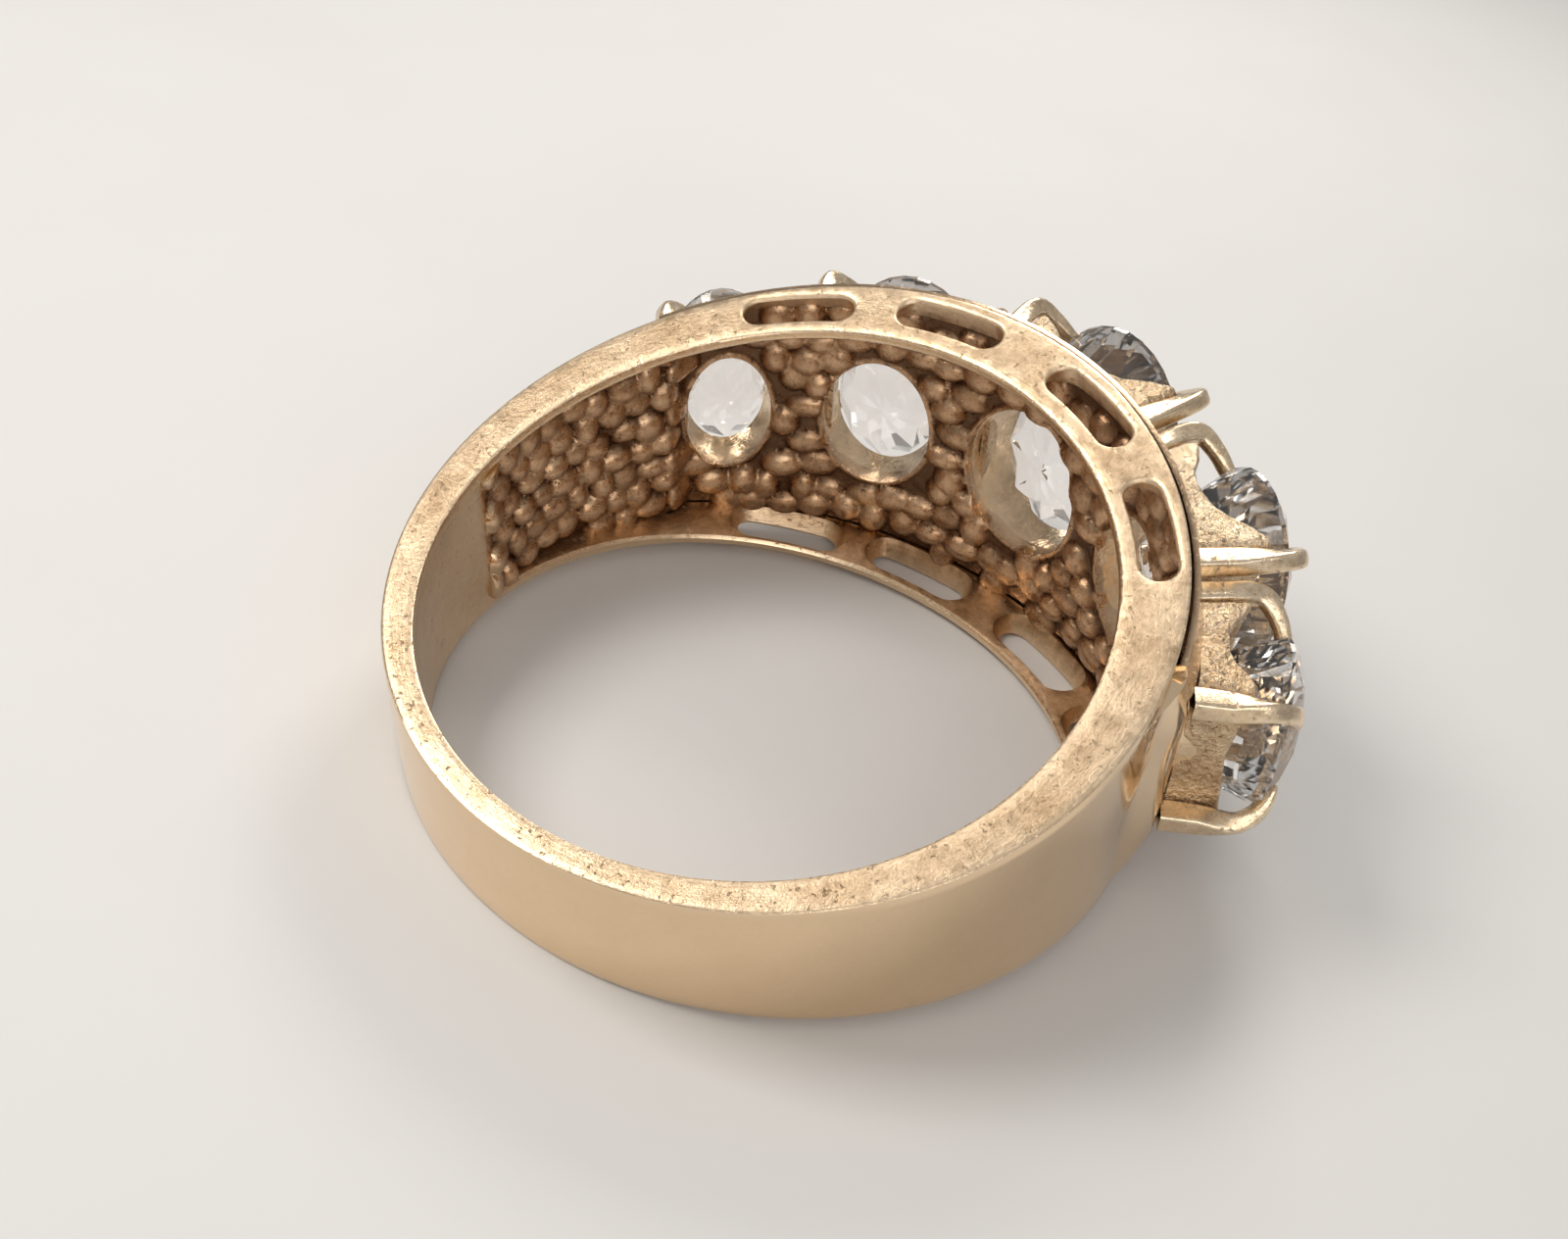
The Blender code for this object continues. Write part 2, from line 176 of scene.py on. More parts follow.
SECOND_ANGLE = pitch(CENTRE, SECOND)
END_ANGLE = SECOND_ANGLE + pitch(SECOND, END)
STONES = [
    place_stone("left_end", END_ANGLE, END),
    place_stone("left_second", SECOND_ANGLE, SECOND),
    place_stone("centre", 0.0, CENTRE),
    place_stone("right_second", -SECOND_ANGLE, SECOND),
    place_stone("right_end", -END_ANGLE, END),
]
END_REACH = END["width"] / 2 + END_CLAW_OFFSET + CLAW_WIDTH / 2 + HEAD_MARGIN
HEAD_HALF_ANGLE = END_ANGLE + math.degrees(END_REACH / plate_outer_radius(END_ANGLE))
RECESS_END = HEAD_HALF_ANGLE + RECESS_SWEEP


def polar(radius, angle, z=0.0):
    turn = math.radians(angle)
    return Vector((radius * math.cos(turn), radius * math.sin(turn), z))


def local(stone, x, y, z):
    """Point given outward, along the band and across it, in a stone's own frame."""
    return Matrix.Rotation(math.radians(stone.angle), 3, 'Z') @ Vector((x, y, z))


def flat_line():
    """Slope and height of the plane of the flats cut for the ring to lie on."""
    front = outer_radius(0)
    back = -outer_radius(180)
    slope = (half_width(front) - half_width(back)) / (front - back)
    return slope, half_width(back) - slope * back - FLAT_DEPTH


def ring_to_world():
    """The ring's own frame in the CAD model, found from the centre stone."""
    tilt = math.atan(flat_line()[0])
    outward = Vector((math.cos(tilt), 0, math.sin(tilt)))
    axis = Vector((-math.sin(tilt), 0, math.cos(tilt)))
    corners = [vertex.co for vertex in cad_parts["stone_centre"].data.vertices]
    depths = [corner.dot(outward) for corner in corners]
    heights = [corner.dot(axis) for corner in corners]
    stone = STONES[2]
    culet = stone.girdle - (GIRDLE_THICKNESS + PAVILION_DEPTH) * stone.width
    along = min(depths) - culet * MM
    across = (min(heights) + max(heights)) / 2
    place = Matrix.Translation(outward * along + axis * across)
    return place @ Matrix.Rotation(-tilt, 4, 'Y') @ Matrix.Scale(MM, 4)


TO_WORLD = ring_to_world()


def smooth_share(value, start, end):
    """0 before start and 1 after end, with an eased ramp between them."""
    share = min(1.0, max(0.0, (value - start) / (end - start)))
    return share * share * (3 - 2 * share)


# ---------------- mesh helpers

def new_builder():
    builder = bmesh.new()
    builder.verts.layers.float.new("relief")
    builder.verts.layers.float.new("polish")
    return builder


# relief tells how far a place stands out; the metal materials paint shade where it is low and
# brighten worn edges where it is high
def add_point(builder, point, relief=0.5, polish=0.0):
    vertex = builder.verts.new(point)
    vertex[builder.verts.layers.float["relief"]] = relief
    vertex[builder.verts.layers.float["polish"]] = polish
    return vertex


def add_rows(builder, rows, close_rows=False, close_ends=False):
    """Quads between neighbouring rows of vertices."""
    pairs = list(zip(rows, rows[1:]))
    if close_rows:
        pairs.append((rows[-1], rows[0]))
    for near, far in pairs:
        count = len(near) if close_ends else len(near) - 1
        for i in range(count):
            j = (i + 1) % len(near)
            builder.faces.new((near[i], near[j], far[j], far[i]))


def new_object(name, data):
    thing = bpy.data.objects.new(name, data)
    bpy.context.scene.collection.objects.link(thing)
    return thing


def finish_piece(name, builder, material, nodes, smooth_angle=40.0, weld=0.0005):
    """Lay the shape down in the row frame as one piece that stands for some CAD nodes."""
    bmesh.ops.remove_doubles(builder, verts=builder.verts, dist=weld)
    bmesh.ops.dissolve_degenerate(builder, edges=builder.edges, dist=weld)
    bmesh.ops.recalc_face_normals(builder, faces=builder.faces)
    mesh = bpy.data.meshes.new(name)
    builder.to_mesh(mesh)
    builder.free()
    place = np.empty(len(mesh.vertices) * 3, np.float32)
    mesh.vertices.foreach_get("co", place)
    ring = mesh.attributes.new("ring", 'FLOAT_VECTOR', 'POINT')
    ring.data.foreach_set("vector", place)
    mesh.transform(TO_WORLD)
    mesh.shade_smooth()
    mesh.set_sharp_from_angle(angle=math.radians(smooth_angle))
    mesh.materials.append(material)
    piece = new_object(name, mesh)
    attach(piece, "root")
    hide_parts(*nodes)


def hex_grid(x_range, y_range, spacing, wobble, chance):
    """Staggered grid of points with a little random shift."""
    points = []
    rows = int((y_range[1] - y_range[0]) / (spacing * 0.866)) + 1
    columns = int((x_range[1] - x_range[0]) / spacing) + 1
    for row in range(rows + 1):
        for column in range(columns + 1):
            x = x_range[0] + (column + 0.5 * (row % 2)) * spacing
            y = y_range[0] + row * spacing * 0.866
            x += chance.uniform(-wobble, wobble)
            y += chance.uniform(-wobble, wobble)
            points.append((x, y))
    return points


def fill_flat(loops, inner_points, room):
    """Triangles between closed loops; room(x, y) is above zero inside the shape."""
    coords = [Vector(point) for loop in loops for point in loop]
    edges = []
    start = 0
    for loop in loops:
        count = len(loop)
        edges += [(start + i, start + (i + 1) % count) for i in range(count)]
        start += count
    coords += [Vector(point) for point in inner_points]
    flat, _, faces, _, _, _ = delaunay_2d_cdt(coords, edges, [], 0, 1e-6)
    kept = []
    for face in faces:
        middle = sum((flat[i] for i in face), Vector((0, 0))) / len(face)
        if room(middle.x, middle.y) > 0:
            kept.append(face)
    return flat, kept


# ---------------- band

def wall_at(angle):
    ease = smooth_share(abs(angle), HEAD_HALF_ANGLE, HEAD_HALF_ANGLE + WALL_EASE)
    return RAIL_WALL + (RECESS_WALL - RAIL_WALL) * ease


def recess_depth(angle):
    """Depth of the hollow on the finger side, beside the head."""
    if abs(angle) > RECESS_END:
        return 0.0
    share = min(1.0, (RECESS_END - abs(angle)) / RECESS_SWEEP)
    depth = RECESS_START_DEPTH + (rim(HEAD_HALF_ANGLE) - SKIN - RECESS_START_DEPTH) * share
    return depth * smooth_share(RECESS_END - abs(angle), -0.5, 5.0)


def wall_z(radius, angle):
    return width_at(radius, angle) - wall_at(angle)


def edge_round(radius, angle, toward):
    """Three points round a long edge; toward is 1 at the bore and -1 at the outside."""
    points = []
    for turn in (0, 45, 90):
        side = 1 - math.cos(math.radians(turn))
        drop = 1 - math.sin(math.radians(turn))
        here = radius + toward * EDGE * side
        points.append((here, width_at(here, angle) - EDGE * drop))
    return points


def face_radii(angle):
    low = FINGER_RADIUS + EDGE
    high = outer_radius(angle) - EDGE
    return [low + (high - low) * i / FACE_STEPS for i in range(FACE_STEPS + 1)]


def shoulder_rise(angle, z):
    """Fillet on the band's outside, from the shank up to the end of the head plate."""
    ease = 1 - smooth_share(abs(angle), HEAD_HALF_ANGLE, HEAD_HALF_ANGLE + FILLET)
    side = width_at(outer_radius(angle), angle) - PLATE_INSET
    share = min(1.0, (side - z) / PLATE_SLOPE)
    return ease * (FIT + PLATE_EDGE + (PLATE_THICKNESS - PLATE_EDGE) * share)


def shank_half(angle):
    """Half cross-section of the band, from its hollow's middle round to its outside."""
    depth = recess_depth(angle)
    floor = FINGER_RADIUS + depth
    limit = wall_z(FINGER_RADIUS, angle)
    lip = min(EDGE, depth / 2)
    # the recess floor gets lower relief, which paints shade into the hollow
    low = 0.65 - 0.25 * smooth_share(depth, 0.0, RECESS_START_DEPTH)
    half = [(floor, limit * i / FLOOR_STEPS, low) for i in range(FLOOR_STEPS + 1)]
    half.append((FINGER_RADIUS + lip, limit, 0.65))
    half.append((FINGER_RADIUS, limit + lip, 0.65))
    half += [(radius, z, 0.95) for radius, z in edge_round(FINGER_RADIUS, angle, 1)]
    half += [(radius, width_at(radius, angle), 0.5) for radius in face_radii(angle)[1:-1]]
    outer = outer_radius(angle)
    half += [(radius, z, 0.95) for radius, z in reversed(edge_round(outer, angle, -1))]
    half.append((outer, limit, 0.6))
    for i in range(FLOOR_STEPS, -1, -1):
        z = limit * i / FLOOR_STEPS
        half.append((outer + shoulder_rise(angle, z), z, 0.6))
    return half


def add_shank(builder):
    count = round((360 - 2 * HEAD_HALF_ANGLE) / STEP)
    rows = []
    for i in range(count + 1):
        angle = HEAD_HALF_ANGLE + (360 - 2 * HEAD_HALF_ANGLE) * i / count
        turn = angle if angle <= 180 else angle - 360
        upper = shank_half(turn)
        lower = [(radius, -z, relief) for radius, z, relief in reversed(upper[1:-1])]
        rows.append([add_point(builder, polar(radius, turn, z), relief)
                     for radius, z, relief in upper + lower])
    add_rows(builder, rows, close_ends=True)
    size = len(shank_half(0))
    corners = [*range(FLOOR_STEPS + 1), *range(size - FLOOR_STEPS - 2, size)]
    for row in (rows[0], rows[-1]):
        builder.faces.new([row[i] for i in corners])
        builder.faces.new([row[-i] for i in corners])


def rail_angles():
    count = round(2 * HEAD_HALF_ANGLE / STEP)
    return [-HEAD_HALF_ANGLE + 2 * HEAD_HALF_ANGLE * i / count for i in range(count + 1)]


def slot_places():
    """Angle, centre radius and half length in degrees of the slots of a rail."""
    places = []
    for near, far in zip(STONES, STONES[1:]):
        middle = (near.angle + far.angle) / 2
        angle = middle + math.copysign(SLOT_LEAN, middle)
        radius = outer_radius(angle) - SLOT_OUTER_LIP - SLOT_HEIGHT / 2
        places.append((angle, radius, math.degrees((SLOT_LENGTH - SLOT_HEIGHT) / 2 / radius)))
    return places


def slot_loop(place, grow):
    """Outline of a slot in the ring's plane, grown all round."""
    angle, radius, half_turn = place
    reach = SLOT_HEIGHT / 2 + grow
    points = []
    for end in (1, -1):
        centre = polar(radius, angle + end * half_turn)
        for i in range(13):
            turn = math.radians(angle + end * half_turn + (0 if end > 0 else 180) + 15 * i)
            points.append(centre + reach * Vector((math.cos(turn), math.sin(turn), 0)))
        for i in range(1, 12):
            along = angle + end * half_turn * (1 - i / 6)
            points.append(polar(radius - end * reach, along))
    return points


def slot_distance(place, x, y):
    angle, radius, half_turn = place
    here = math.degrees(math.atan2(y, x)) - angle
    if abs(here) <= half_turn:
        return abs(math.hypot(x, y) - radius) - SLOT_HEIGHT / 2
    centre = polar(radius, angle + math.copysign(half_turn, here))
    return math.hypot(x - centre.x, y - centre.y) - SLOT_HEIGHT / 2


def add_pierced_face(builder, side, end_radii, high_edge, grow, height):
    """One face of a rail, with its four slots open; end_radii are the points across its ends."""
    angles = rail_angles()
    places = slot_places()
    low_radius = FINGER_RADIUS + EDGE
    low = [polar(low_radius, angle) for angle in angles]
    high = [polar(outer_radius(angle) - high_edge, angle) for angle in angles]
    ends = [[polar(radius, angle + math.copysign(END_BULGE, angle))
             for radius in end_radii(angle)] for angle in (angles[-1], angles[0])]
    outline = low + ends[0] + high[::-1] + ends[1][::-1]
    loops = [[(point.x, point.y) for point in outline]]
    for place in places:
        loops.append([(point.x, point.y) for point in slot_loop(place, grow)])

    def room(x, y):
        radius = math.hypot(x, y)
        angle = math.degrees(math.atan2(y, x))
        nearest = min(slot_distance(place, x, y) - grow for place in places)
        return min(radius - low_radius, outer_radius(angle) - high_edge - radius,
                   math.radians(HEAD_HALF_ANGLE - abs(angle)) * radius, nearest) + ROOM_SLACK

    chance = random.Random(5)
    grid = hex_grid((3, 12), (-11, 11), FACE_GRID, 0.02, chance)
    inner = [point for point in grid if room(*point) > 0.5 * FACE_GRID]
    flat, faces = fill_flat(loops, inner, room)
    verts = [add_point(builder, (point.x, point.y, side * height(point))) for point in flat]
    for face in faces:
        builder.faces.new([verts[i] for i in face])


def face_height(point):
    return half_width(point.x)


def inner_height(point):
    return half_width(FINGER_RADIUS * point.x / point.length) - RAIL_WALL


def add_slot_walls(builder, side):
    """Rounded rim and inner wall of each slot."""
    for place in slot_places():
        rows = []
        for turn in (0, 30, 60, 90):
            grow = SLOT_LIP * (1 - math.sin(math.radians(turn)))
            depth = SLOT_LIP * (1 - math.cos(math.radians(turn)))
            rows.append([add_point(builder, (point.x, point.y,
                                             side * (half_width(point.x) - depth)), 0.95)
                         for point in slot_loop(place, grow)])
        # relief 0.2 at the back of each slot paints shade inside it
        back = []
        for point in slot_loop(place, SLOT_FLARE):
            flat = Vector((point.x, point.y))
            back.append(add_point(builder, (point.x, point.y, side * inner_height(flat)), 0.2))
        rows.append(back)
        add_rows(builder, rows, close_ends=True)


def add_rail(builder, side):
    rows = []
    for angle in rail_angles():
        limit = wall_z(FINGER_RADIUS, angle)
        outer = outer_radius(angle)
        edge = [(FINGER_RADIUS + EDGE, limit, 0.7), (FINGER_RADIUS, limit + EDGE, 0.7)]
        edge += [(radius, z, 0.95) for radius, z in edge_round(FINGER_RADIUS, angle, 1)]
        top = [(radius, z, 0.95) for radius, z in reversed(edge_round(outer, angle, -1))]
        # relief 0.4 where the rail's outside runs in under the head plate paints shade there
        top.append((outer, limit, 0.4))
        rows.append([[add_point(builder, polar(radius, angle, side * z), relief)
                      for radius, z, relief in part] for part in (edge, top)])
    for part in (0, 1):
        add_rows(builder, [row[part] for row in rows])
    add_pierced_face(builder, side, lambda angle: face_radii(angle)[1:-1],
                     EDGE, SLOT_LIP, face_height)
    add_pierced_face(builder, side, lambda angle: [FINGER_RADIUS + recess_depth(angle)],
                     0.0, SLOT_FLARE, inner_height)
    add_slot_walls(builder, side)


def polish_at(point):
    """1 on the band's polished outside, less on its bore and 0 on its satin side faces."""
    radius = math.hypot(point.x, point.y)
    outer = outer_radius(math.degrees(math.atan2(point.y, point.x)))
    bore = smooth_share(radius, FINGER_RADIUS + BORE_EASE, FINGER_RADIUS)
    return max(smooth_share(radius, outer - OUTSIDE_EASE, outer), BORE_POLISH * bore)


def make_band(material):
    """Shank, shoulders and pierced side rails in one casting."""
    builder = new_builder()
    add_shank(builder)
    add_rail(builder, 1)
    add_rail(builder, -1)
    slope, height = flat_line()
    polish = builder.verts.layers.float["polish"]
    for vertex in builder.verts:
        limit = height + slope * vertex.co.x
        vertex.co.z = min(limit, max(-limit, vertex.co.z))
        vertex[polish] = polish_at(vertex.co)
    finish_piece("band", builder, material,
                 ("shank", "side_rail_upper", "side_rail_lower"))


# ---------------- granulated lining

LINING_RADIUS = 10.0      # radius at which the lining is drawn flat
LINING_END = RECESS_END - 0.6     # angles at which the lining and its grains stop
BEADS_END = LINING_END - 2.2
LINING_GRAIN = 0.015      # height of the lining's fine roughness
LINING_LIFT = 0.012       # of the lining above the floor of the recess
LINING_THICKNESS = 0.12   # from that floor into the shoulder's metal
LINING_SLACK = 0.004      # as ROOM_SLACK, for the lining
LINING_LAP = 0.02         # of the lining into the side walls; its grains stop as far short
BEAD_MARGIN = 0.16        # between a window's collar and the middle of a grain
STEP_SHIFT = 0.03         # degrees from the plate's end to the row of points on either side
HEAD_EASE = 5.0           # degrees over which the lining drops from the plate to the shoulder


def lining_floor(angle, z):
    """Radius of the surface that the beads stand on."""
    shoulder = FINGER_RADIUS + recess_depth(max(abs(angle), HEAD_HALF_ANGLE)) - LINING_LIFT
    plate = outer_radius(angle) + FIT
    if abs(angle) > HEAD_HALF_ANGLE:
        return shoulder
    if abs(z) > wall_z(FINGER_RADIUS, angle) - LINING_LAP:
        return plate
    ease = smooth_share(abs(angle), HEAD_HALF_ANGLE - HEAD_EASE, HEAD_HALF_ANGLE)
    return plate + (shoulder - plate) * ease


def lining_back(angle, z):
    """Radius of the outer surface, which carries the settings in the head."""
    if abs(angle) > HEAD_HALF_ANGLE:
        return FINGER_RADIUS + recess_depth(angle) + LINING_THICKNESS
    inner = outer_radius(angle) + FIT
    side = width_at(inner, angle) - PLATE_INSET
    rise = min(1.0, (side - abs(z)) / PLATE_SLOPE)
    return inner + PLATE_EDGE + (PLATE_THICKNESS - PLATE_EDGE) * max(0.0, rise)


def lining_limit(angle):
    if abs(angle) > HEAD_HALF_ANGLE:
        return wall_z(FINGER_RADIUS, angle) + LINING_LAP
    return width_at(outer_radius(angle) + FIT, angle) - PLATE_INSET


def flat_place(angle):
    return math.radians(angle) * LINING_RADIUS


def angle_at(s):
    return math.degrees(s / LINING_RADIUS)


def window_loop(stone, grow=0.0, count=72):
    points = []
    for i in range(count):
        turn = 2 * math.pi * i / count
        y = (stone.window_width / 2 + grow) * math.cos(turn)
        z = (stone.window_length / 2 + grow) * math.sin(turn)
        radius = outer_radius(stone.angle) + FIT
        points.append((flat_place(stone.angle + math.degrees(math.asin(y / radius))), z))
    return points


def window_distance(stone, s, z):
    """Roughly how far a place on the lining is from a window's edge."""
    angle = angle_at(s) - stone.angle
    y = (outer_radius(stone.angle) + FIT) * math.sin(math.radians(angle))
    half_y = stone.window_width / 2
    half_z = stone.window_length / 2
    reach = math.hypot(y / half_y, z / half_z)
    if reach < 1e-6:
        return -half_y
    if abs(angle) > 60:
        return 50.0
    slope = math.hypot(y / half_y ** 2, z / half_z ** 2) / reach
    return (reach - 1) / slope


def window_gap(s, z):
    return min(window_distance(stone, s, z) for stone in STONES)


def make_beads(chance):
    """Place, radius, height and stretch of each grain."""
    beads = []
    span = flat_place(LINING_END)
    for s, z in hex_grid((-span, span), (-5.2, 5.2), BEAD_PITCH, 0.15, chance):
        radius = chance.uniform(*BEAD_RADIUS)
        height = chance.uniform(*BEAD_HEIGHT)
        stretch = chance.uniform(0.86, 1.22)
        angle = angle_at(s)
        if abs(angle) > BEADS_END:
            continue
        if abs(z) > wall_z(FINGER_RADIUS, angle) - LINING_LAP:
            continue
        if window_gap(s, z) < COLLAR_WIDTH + BEAD_MARGIN:
            continue
        if abs(angle) > HEAD_HALF_ANGLE:
            height = min(height, recess_depth(angle) + BEAD_STAND)
        beads.append((s, z, radius, height, stretch))
    return np.array(beads)


def bead_heights(points, beads):
    """Height of the grains over each point, as rounded domes."""
    heights = np.zeros(len(points))
    for s, z, radius, height, stretch in beads:
        near = np.abs(points[:, 0] - s) < 1.0
        offset = points[near] - (s, z)
        reach = np.hypot(offset[:, 0] / stretch, offset[:, 1] * stretch) / radius
        dome = height * np.sqrt(np.clip(1 - reach ** 2, 0, 1))
        heights[near] = np.maximum(heights[near], dome)
    return heights


def step_angles():
    """Angles of the two rows of points at each end of the plate, and which row each is."""
    return [(edge * (HEAD_HALF_ANGLE + shift), shift > 0)
            for edge in (-1, 1) for shift in (-STEP_SHIFT, STEP_SHIFT)]


def lining_outline():
    upper = []
    count = 240
    for i in range(count + 1):
        angle = -LINING_END + 2 * LINING_END * i / count
        upper.append((flat_place(angle), lining_limit(angle)))
    upper += [(flat_place(angle), lining_limit(angle)) for angle, _ in step_angles()]
    upper.sort()
    ends = lining_limit(LINING_END)
    lower = [(s, -z) for s, z in reversed(upper)]
    right_side = [(flat_place(LINING_END), ends * (1 - i / 10)) for i in range(1, 20)]
    left_side = [(flat_place(-LINING_END), -ends * (1 - i / 10)) for i in range(1, 20)]
    return upper + right_side + lower + left_side


def lining_points(outline, room):
    chance = random.Random(11)
    span = flat_place(LINING_END)
    grid = hex_grid((-span, span), (-5.3, 5.3), LINING_GRID, 0.01, chance)
    step = flat_place(HEAD_HALF_ANGLE)
    inner = [point for point in grid if room(*point) > 0.5 * LINING_GRID
             and abs(abs(point[0]) - step) > 0.6 * LINING_GRID]
    reach = lining_limit(HEAD_HALF_ANGLE + STEP_SHIFT)
    count = int(2 * reach / LINING_GRID)
    for angle, beyond in step_angles():
        steps = range(1, count) if beyond else range(count + 1)
        inner += [(flat_place(angle), reach * (2 * i / count - 1)) for i in steps]
    return inner


def make_lining(material):
    """Granulated floor of the head and shoulders, with a window under each stone."""
    outline = lining_outline()
    loops = [outline] + [window_loop(stone) for stone in STONES]

    def room(s, z):
        side = lining_limit(angle_at(s)) - abs(z)
        return min(window_gap(s, z), side, flat_place(LINING_END) - abs(s)) + LINING_SLACK

    inner = lining_points(outline, room)
    flat, faces = fill_flat(loops, inner, room)
    places = np.array([(point.x, point.y) for point in flat])
    beads = make_beads(random.Random(3))
    heights = bead_heights(places, beads)
    builder = new_builder()
    front = []
    back = []
    for (s, z), height in zip(places, heights):
        angle = angle_at(s)
        edge = window_gap(s, z)
        collar = 0.0
        if edge < COLLAR_WIDTH:
            share = max(0.0, edge) / COLLAR_WIDTH
            collar = COLLAR_HEIGHT * math.sin(math.pi * (0.25 + 0.75 * share)) ** 0.8
        grain = LINING_GRAIN * noise.noise(Vector((s * 4, z * 4, 0)))
        rise = max(height, collar) + (grain if abs(z) < wall_z(FINGER_RADIUS, angle) else 0)
        # low relief between the grains gets painted shade from the metal; only the tallest grain
        # tops turn worn-bright
        relief = min(1.0, max(height / BEAD_HEIGHT[1], 0.8 * collar / COLLAR_HEIGHT))
        plain = smooth_share(abs(angle), LINING_END - 4.0, LINING_END - 1.0)
        front.append(add_point(builder, polar(lining_floor(angle, z) - rise, angle, z),
                               max(relief, 0.75 * plain), BORE_POLISH * plain))
        back.append(add_point(builder, polar(lining_back(angle, z), angle, z), 0.5, 0.8))
    for face in faces:
        builder.faces.new([front[i] for i in face])
        builder.faces.new([back[i] for i in reversed(face)])
    bridge_open_edges(builder, front, back)
    finish_piece("granulated_lining", builder, material, ("head_plate",),
                 smooth_angle=65.0, weld=0.0001)


def bridge_open_edges(builder, front, back):
    """Join the rims of two matching sheets."""
    partner = {near: far for near, far in zip(front, back)}
    open_edges = [edge for edge in builder.edges if edge.is_boundary and edge.verts[0] in partner]
    for edge in open_edges:
        near, far = edge.verts
        if far in partner:
            builder.faces.new((far, near, partner[near], partner[far]))


# ---------------- stones

def make_stone(stone, material):
    """Oval brilliant: table, stars, kites, girdle facets and a bellied pavilion to the culet."""
    builder = new_builder()
    crown = CROWN_HEIGHT * stone.width
    edge_x = stone.girdle - GIRDLE_THICKNESS * stone.width
    lean = math.cos(math.radians(22.5))

    def point(radius, turn, x):
        y = radius * math.cos(math.radians(turn)) * stone.width / 2
        z = radius * math.sin(math.radians(turn)) * stone.length / 2
        return add_point(builder, local(stone, x, y, z))

    def pavilion_ring(depth, scale, ridge):
        x = edge_x - depth * stone.width
        return [point(scale + (ridge if k % 2 else -ridge), 22.5 * k, x) for k in range(16)]

    star = 0.5 * (1 + TABLE_SIZE) / lean * 0.94
    star_x = stone.girdle + crown * (1 - star * lean) / (1 - TABLE_SIZE)
    table = [point(TABLE_SIZE, 45 * k, stone.girdle + crown) for k in range(8)]
    stars = [point(star, 45 * k + 22.5, star_x) for k in range(8)]
    girdle = [point(1, 11.25 * k, stone.girdle) for k in range(32)]
    edge = [point(1, 11.25 * k, edge_x) for k in range(32)]
    belly = pavilion_ring(*BELLY[0], 0.03)
    low = pavilion_ring(*BELLY[1], -0.06)
    culet = point(0, 0, edge_x - PAVILION_DEPTH * stone.width)
    builder.faces.new(table)
    for k in range(8):
        after = (k + 1) % 8
        before = (k - 1) % 8
        builder.faces.new((table[k], stars[k], table[after]))
        builder.faces.new((table[k], stars[before], girdle[4 * k], stars[k]))
        for start in (4 * k, 4 * k + 2):
            corners = [girdle[(start + i) % 32] for i in range(3)]
            builder.faces.new((stars[k], *corners))
    for k in range(16):
        after = (k + 1) % 16
        builder.faces.new((belly[k], edge[2 * k], edge[2 * k + 1]))
        builder.faces.new((belly[k], edge[2 * k + 1], belly[after]))
        builder.faces.new((belly[after], edge[2 * k + 1], edge[(2 * k + 2) % 32]))
        builder.faces.new((belly[k], belly[after], low[k]))
        builder.faces.new((low[k], belly[after], low[after]))
        builder.faces.new((culet, low[k], low[after]))
    for k in range(32):
        after = (k + 1) % 32
        builder.faces.new((girdle[k], girdle[after], edge[after], edge[k]))
    finish_piece(f"oval_stone_{stone.name}", builder, material,
                 (f"stone_{stone.name}",), smooth_angle=1.0)


# ---------------- settings and claws

def claw_line(index, toward):
    """Foot of the perpendicular and direction of a claw's post, in its stone's frame."""
    stone = STONES[index]
    neighbour = index - toward
    if 0 <= neighbour < len(STONES):
        turn = math.radians((STONES[neighbour].angle - stone.angle) / 2)
        offset = -toward * (CLAW_GAP + CLAW_WIDTH) / 2
    else:
        turn = 0.0
        offset = toward * (stone.width / 2 + END_CLAW_OFFSET)
    direction = Vector((math.cos(turn), math.sin(turn)))
    return Vector((-offset * direction.y, offset * direction.x)), direction


def post_y(index, toward, x):
    start, direction = claw_line(index, toward)
    return start.y + (x - start.x) / direction.x * direction.y


def claw_path(index, toward, level):
    """Foot, knee, bend, crest and tip of a claw, in its stone's frame."""
    stone = STONES[index]
    start, direction = claw_line(index, toward)
    lean = math.degrees(math.atan2(direction.y, direction.x))
    radius = plate_outer_radius(stone.angle + lean) - CLAW_ROOT
    foot = start + direction * math.sqrt(radius ** 2 - start.length_squared)
    z = level * (stone.length / 2 - CLAW_INSET)
    knee_x = stone.girdle - CLAW_KNEE
    knee = Vector((post_y(index, toward, knee_x), z))
    edge = knee / math.hypot(2 * knee.x / stone.width, 2 * knee.y / stone.length)
    over = CLAW_OVERHANG / edge.length
    rise = CROWN_HEIGHT * stone.width * over / (1 - TABLE_SIZE)
    crest_x = stone.girdle + GRIP_GAP + CREST_THICKNESS / 2 - CLAW_SINK
    bend_x = stone.girdle - CLAW_BEND_DROP
    tip_x = stone.girdle + rise + GRIP_GAP + TIP_THICKNESS / 2 - CLAW_SINK
    middle_x = (foot.x + knee_x) / 2
    return [
        Vector((foot.x, foot.y, z)),
        Vector((middle_x, post_y(index, toward, middle_x), z)),
        Vector((knee_x, *knee)),
        Vector((bend_x, *knee.lerp(edge, CLAW_BEND))),
        Vector((crest_x, *edge)),
        Vector((tip_x, *(edge * (1 - over)))),
    ]


